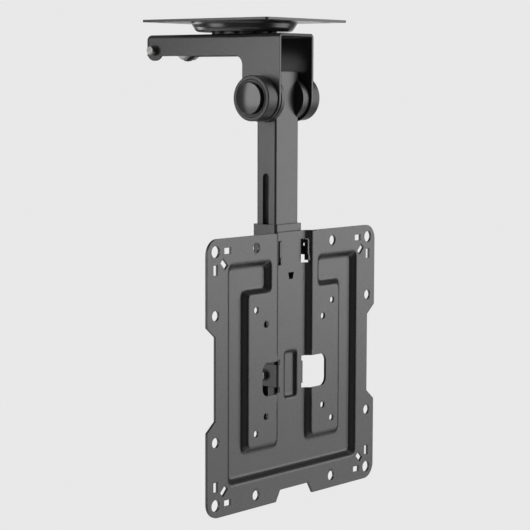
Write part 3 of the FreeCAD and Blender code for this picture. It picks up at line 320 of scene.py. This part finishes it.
    def edge_mask(self, softened):
        """A mask of the edges: 1 where the softened normal turns from the surface's own."""
        own = self.add("ShaderNodeNewGeometry").outputs["Normal"]
        return self.remap(self.vector_math("DOT_PRODUCT", softened, own), (1.0, 0.0), EDGE_SPAN)


class Surface(Nodes):
    """A material with one Principled shader."""

    def __init__(self, name):
        self.material = bpy.data.materials.new(name)
        self.material.use_nodes = True
        super().__init__(self.material.node_tree)
        output = self.add("ShaderNodeOutputMaterial")
        self.shader = self.add("ShaderNodeBsdfPrincipled")
        self.feed(self.shader.outputs["BSDF"], output.inputs["Surface"])

    def put(self, **values):
        """Feed inputs of the shader, named in small letters with underscores."""
        names = {socket.name.lower().replace(" ", "_"): socket for socket in self.shader.inputs}
        for name, value in values.items():
            self.feed(value, names[name])


def tint(color, factor):
    """A colour made darker or lighter."""
    return tuple(part * factor for part in color)


def node_box(name):
    """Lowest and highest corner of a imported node, in the part's frame."""
    points = [NODES[name].matrix_world @ vertex.co for vertex in NODES[name].data.vertices]
    return Vector(map(min, zip(*points))), Vector(map(max, zip(*points)))


def node_size(name):
    """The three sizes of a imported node."""
    low, high = node_box(name)
    return high - low


def own_point(node, point):
    """A point of the part in a node's own coordinates."""
    return tuple(NODES[node].matrix_world.inverted() @ point)


def channel_radius(nodes, centre):
    """Radius of the screen plate's softened edges: wide along the pressed channels only."""
    x, _, z = nodes.local(centre)
    across = nodes.math("ABSOLUTE", x)
    height = nodes.math("ABSOLUTE", z)
    crisp_parts = [nodes.above(nodes.distance(across, at, height, at), radius)
                   for at, radius in CRISP_HOLES]
    window = nodes.all_of(nodes.between(across, WINDOW_X), nodes.between(z, WINDOW_Z))
    middle = nodes.all_of(nodes.below(across, MIDDLE_WIDE), nodes.above(z, MIDDLE_TOP))
    upper = nodes.all_of(nodes.between(across, (MIDDLE_WIDE, UPPER_WIDE)), nodes.above(z, UPPER_TOP))
    channels = nodes.all_of(nodes.below(across, CHANNELS_WIDE), nodes.below(height, CHANNELS_HIGH),
                            *crisp_parts, nodes.none_of(window), nodes.none_of(middle))
    return nodes.remap(nodes.math("MAXIMUM", channels, upper), (SHEET_EDGE, CHANNEL_EDGE))


def bulge(nodes, normal, centre):
    """The dome's cone, shaded as the rounded cup that a press leaves: upright half way down."""
    x, y, z = nodes.local(centre)
    radial = nodes.add("ShaderNodeCombineXYZ")
    nodes.feed(x, radial.inputs["X"])
    nodes.feed(y, radial.inputs["Y"])
    outward = nodes.vector_math("NORMALIZE", nodes.turned(radial.outputs["Vector"], "OBJECT", "WORLD"))
    share = nodes.all_of(nodes.remap(z, (0.0, DOME_SHARE), DOME_UPPER),
                         nodes.remap(z, (0.0, 1.0), DOME_LOWER),
                         nodes.above(nodes.distance(x, 0.0, y, 0.0), DOME_FLAT))
    return nodes.lean_between(share, normal, outward)


def coat(nodes, softened, shaped=None):
    """Colour, roughness and grain of the powder coat. A shaped normal replaces the softened one."""
    grain = nodes.noise(scale=2600.0, detail=2.0, rough=0.6)
    cloud = nodes.noise(scale=60.0, detail=3.0)
    base = nodes.mix(nodes.remap(cloud, (0.0, 1.0), NOISE_SPAN), tint(COAT, COAT_DARKER),
                     tint(COAT, COAT_LIGHTER))
    wear = nodes.remap(nodes.edge_mask(softened), COAT_WEAR)
    normal = softened if shaped is None else shaped
    nodes.put(base_color=nodes.mix(wear, base, tint(COAT, COAT_WORN)),
              roughness=nodes.remap(grain, COAT_ROUGH, NOISE_SPAN),
              normal=nodes.bump(grain, strength=0.35, distance=0.00012, normal=normal))
    return nodes.material


def powder_coat(name):
    """Powder coat on plain bent sheet."""
    nodes = Surface(name)
    return coat(nodes, nodes.bevel(COAT_EDGE))


def dome_coat(name, centre):
    """Powder coat on the ceiling plate with its dome."""
    nodes = Surface(name)
    softened = nodes.bevel(COAT_EDGE)
    return coat(nodes, softened, bulge(nodes, softened, centre))


def pressed_coat(name, centre):
    """Powder coat on the screen plate, with shade painted as low gloss in its creases and where it looks
    up.
    """
    nodes = Surface(name)
    softened = nodes.bevel(channel_radius(nodes, centre))
    # Painted shade: the gloss drops where a crease leans right and where a face turns upward.
    crease_shade = nodes.remap(nodes.lean_to_right(softened), CREASE_SHADE_GLOSS, CREASE_LEAN)
    shelf_shade = nodes.remap(nodes.facing_up(), SHELF_SHADE_GLOSS, SHELF_TURN)
    nodes.put(specular_ior_level=nodes.math("MULTIPLY", crease_shade, shelf_shade))
    return coat(nodes, softened)


def hollow_coat(name, centre, half_wide, half_deep, gloss):
    """Powder coat on a hollow piece, with painted shade inside it as lower gloss."""
    nodes = Surface(name)
    x, y, _ = nodes.local(centre)
    inside = nodes.all_of(nodes.below(nodes.math("ABSOLUTE", x), half_wide),
                          nodes.below(nodes.math("ABSOLUTE", y), half_deep))
    # Painted shade: the gloss drops inside the hollow, where shade falls.
    nodes.put(specular_ior_level=nodes.remap(inside, (OPEN_GLOSS, gloss)))
    return coat(nodes, nodes.bevel(COAT_EDGE))


def zinc(name):
    """Zinc plating with a mottled tone."""
    nodes = Surface(name)
    cloud = nodes.noise(scale=420.0, detail=4.0, rough=0.6)
    nodes.put(base_color=nodes.mix(nodes.remap(cloud, (0.0, 1.0), ZINC_SPAN), ZINC_DARK, ZINC_PALE),
              metallic=1.0,
              roughness=nodes.remap(cloud, ZINC_ROUGH, NOISE_SPAN),
              normal=nodes.bump(cloud, strength=0.15, distance=0.0001, normal=nodes.bevel(METAL_EDGE)))
    return nodes.material


def black_steel(name):
    """Blackened steel, paler along its edges."""
    nodes = Surface(name)
    cloud = nodes.noise(scale=300.0, detail=3.0, rough=0.6)
    softened = nodes.bevel(METAL_EDGE)
    base = nodes.mix(cloud, STEEL_DARK, STEEL_PALE)
    nodes.put(base_color=nodes.mix(nodes.edge_mask(softened), base, STEEL_WORN),
              roughness=nodes.remap(cloud, STEEL_ROUGH, NOISE_SPAN),
              normal=nodes.bump(cloud, strength=0.12, distance=0.0001, normal=softened))
    return nodes.material


def plastic(name):
    """Moulded black plastic with a very fine spark texture."""
    nodes = Surface(name)
    grain = nodes.noise(scale=3400.0, detail=2.0)
    cloud = nodes.noise(scale=90.0, detail=2.0)
    nodes.put(base_color=nodes.mix(cloud, tint(PLASTIC, PLASTIC_DARKER), PLASTIC),
              roughness=nodes.remap(grain, PLASTIC_ROUGH, NOISE_SPAN),
              normal=nodes.bump(grain, strength=0.2, distance=0.00008, normal=nodes.bevel(PLASTIC_EDGE)),
              specular_ior_level=PLASTIC_GLOSS)
    return nodes.material


def cover_plastic(name, centre, side):
    """Moulded pivot cover: satin rim and a glossier middle with a very gentle dome."""
    nodes = Surface(name)
    grain = nodes.noise(scale=3400.0, detail=2.0)
    _, y, z = nodes.local(centre)
    button = nodes.below(nodes.distance(y, 0.0, z, 0.0), BUTTON_RADIUS)
    axis = nodes.turned((side, 0.0, 0.0), "OBJECT", "WORLD")
    turn = nodes.math("MULTIPLY", button, BUTTON_FLAT)
    flatter = nodes.lean_between(turn, nodes.bevel(COVER_EDGE), axis)
    nodes.put(base_color=PLASTIC,
              roughness=nodes.math("SUBTRACT", nodes.remap(grain, COVER_ROUGH, NOISE_SPAN),
                                   nodes.math("MULTIPLY", button, BUTTON_SMOOTH)),
              normal=nodes.bump(grain, strength=0.12, distance=0.00006, normal=flatter),
              specular_ior_level=nodes.remap(button, BUTTON_GLOSS))
    return nodes.material


def lining(name):
    """Dull fibre lining of the friction pack."""
    nodes = Surface(name)
    fibre = nodes.noise(scale=900.0, detail=4.0, rough=0.7)
    nodes.put(base_color=nodes.mix(fibre, FIBRE_DARK, FIBRE_PALE),
              roughness=nodes.remap(fibre, FIBRE_ROUGH),
              normal=nodes.bump(fibre, strength=0.4, distance=0.0002))
    return nodes.material


def make_materials():
    """The material of each slot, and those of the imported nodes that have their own."""
    slots = {
        "powder_coat": powder_coat("powder_coat"),
        "zinc": zinc("zinc"),
        "black_steel": black_steel("black_steel"),
        "black_plastic": plastic("black_plastic"),
        "lining": lining("lining"),
    }
    joints = {joint["name"]: joint for joint in frame["record"]["behaviour"]["joints"]}
    swivel, fold = (Vector(joints[name]["pos_m"]) for name in ("swivel", "fold"))
    low, high = node_box("screen_plate")
    tube = node_size("post_tube")
    arm = node_size("arm_bracket")
    own = {
        "ceiling_plate": dome_coat("powder_coat_dome", own_point("ceiling_plate", swivel)),
        "screen_plate": pressed_coat("powder_coat_pressed",
                                     own_point("screen_plate", (low + high) / 2)),
        "post_tube": hollow_coat("powder_coat_tube", own_point("post_tube", fold),
                                 tube.x / 2 - TUBE_SKIN, tube.y / 2 - TUBE_SKIN, TUBE_SHADE_GLOSS),
        "arm_bracket": hollow_coat("powder_coat_arm", own_point("arm_bracket", fold),
                                   arm.x / 2 - ARM_SKIN, arm.y, ARM_SHADE_GLOSS),
        "pivot_cover_left": cover_plastic("cover_left", own_point("pivot_cover_left", fold), -1.0),
        "pivot_cover_right": cover_plastic("cover_right", own_point("pivot_cover_right", fold), 1.0),
    }
    return slots, own


def dress_nodes():
    """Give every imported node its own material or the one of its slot."""
    materials, own = make_materials()
    slots = {row["node"]: row["material_slot"] for row in frame["record"]["subparts"]}
    for name, item in NODES.items():
        item.data.materials.clear()
        item.data.materials.append(own.get(name, materials[slots[name]]))


def studio_paper(name):
    """Matt pale paper that keeps shadows and meets the backdrop in the eye and in gloss."""
    nodes = Surface(name)
    path = nodes.add("ShaderNodeLightPath")
    seen = nodes.math("MAXIMUM", path.outputs["Is Camera Ray"],
                      nodes.math("MAXIMUM", path.outputs["Is Glossy Ray"],
                                 path.outputs["Is Transmission Ray"]))
    nodes.put(base_color=PAPER, roughness=PAPER_ROUGH, emission_color=WHITE,
              emission_strength=nodes.math("MULTIPLY", seen, FLOOR_GLOW))
    return nodes.material


def add_floor():
    """Pale studio floor far below the hanging part."""
    low = CAD_BOX[0][2] - FLOOR_DROP
    sides = ((-1, -1), (1, -1), (1, 1), (-1, 1))
    corners = [(x * FLOOR_REACH, y * FLOOR_REACH, low) for x, y in sides]
    mesh = bpy.data.meshes.new("studio_floor")
    mesh.from_pydata(corners, [], [(0, 1, 2, 3)])
    floor = bpy.data.objects.new("studio_floor", mesh)
    bpy.context.collection.objects.link(floor)
    mesh.materials.append(studio_paper("studio_floor"))


def add_area(name, at, size, power):
    """Soft upright rectangular light that looks level at the swivel axis."""
    light = bpy.data.lights.new(name, "AREA")
    light.shape = "RECTANGLE"
    light.size, light.size_y = size
    light.energy = power
    item = bpy.data.objects.new(name, light)
    item.location = at
    aim = Vector((-at[0], -at[1], 0.0))
    item.rotation_euler = aim.to_track_quat("-Z", "Y").to_euler()
    bpy.context.collection.objects.link(item)


def add_world():
    """Even pale backdrop for the camera. The part is lit by dim surroundings with a wall behind."""
    world = bpy.data.worlds.new("studio")
    world.use_nodes = True
    nodes = Nodes(world.node_tree)
    way = nodes.add("ShaderNodeTexCoord").outputs["Generated"]
    toward = nodes.vector_math("DOT_PRODUCT", way, WALL_WAY)
    wall, behind, fill = (nodes.remap(toward, strengths, cosines, "SMOOTHSTEP")
                          for cosines, strengths in (WALL, BEHIND, FILL))
    lit = nodes.add("ShaderNodeBackground")
    nodes.feed(WHITE, lit.inputs["Color"])
    nodes.feed(nodes.math("ADD", nodes.math("ADD", wall, behind), fill), lit.inputs["Strength"])
    seen = nodes.add("ShaderNodeBackground")
    nodes.feed(BACKDROP, seen.inputs["Color"])
    choice = nodes.add("ShaderNodeMixShader")
    by_camera, otherwise, for_camera = choice.inputs
    nodes.feed(nodes.add("ShaderNodeLightPath").outputs["Is Camera Ray"], by_camera)
    nodes.feed(lit.outputs["Background"], otherwise)
    nodes.feed(seen.outputs["Background"], for_camera)
    output = nodes.add("ShaderNodeOutputWorld")
    nodes.feed(choice.outputs["Shader"], output.inputs["Surface"])
    bpy.context.scene.world = world


def add_camera():
    """Camera solved from the photograph's screw hole grid."""
    data = bpy.data.cameras.new("camera")
    data.sensor_width = SENSOR
    data.lens = FOCAL_PIXELS / PHOTO_PIXELS * SENSOR
    data.clip_start = CAMERA_NEAR
    item = bpy.data.objects.new("camera", data)
    azimuth = math.radians(CAMERA_AZIMUTH)
    down = math.radians(CAMERA_DOWN)
    roll = math.radians(CAMERA_ROLL)
    look = Vector((math.sin(azimuth) * math.cos(down), math.cos(azimuth) * math.cos(down),
                   -math.sin(down)))
    level = Vector((math.cos(azimuth), -math.sin(azimuth), 0.0))
    upright = level.cross(look)
    right = math.cos(roll) * level + math.sin(roll) * upright
    up = -math.sin(roll) * level + math.cos(roll) * upright
    turn = Matrix((right, up, -look)).transposed()
    item.matrix_world = Matrix.Translation(CAMERA_AT) @ turn.to_4x4()
    bpy.context.collection.objects.link(item)
    bpy.context.scene.camera = item


dress_nodes()
add_floor()
add_world()
add_camera()
for soft_box in SOFT_BOXES:
    add_area(*soft_box)

bpy.context.scene.view_settings.view_transform = "Standard"
bpy.context.scene.view_settings.look = "None"
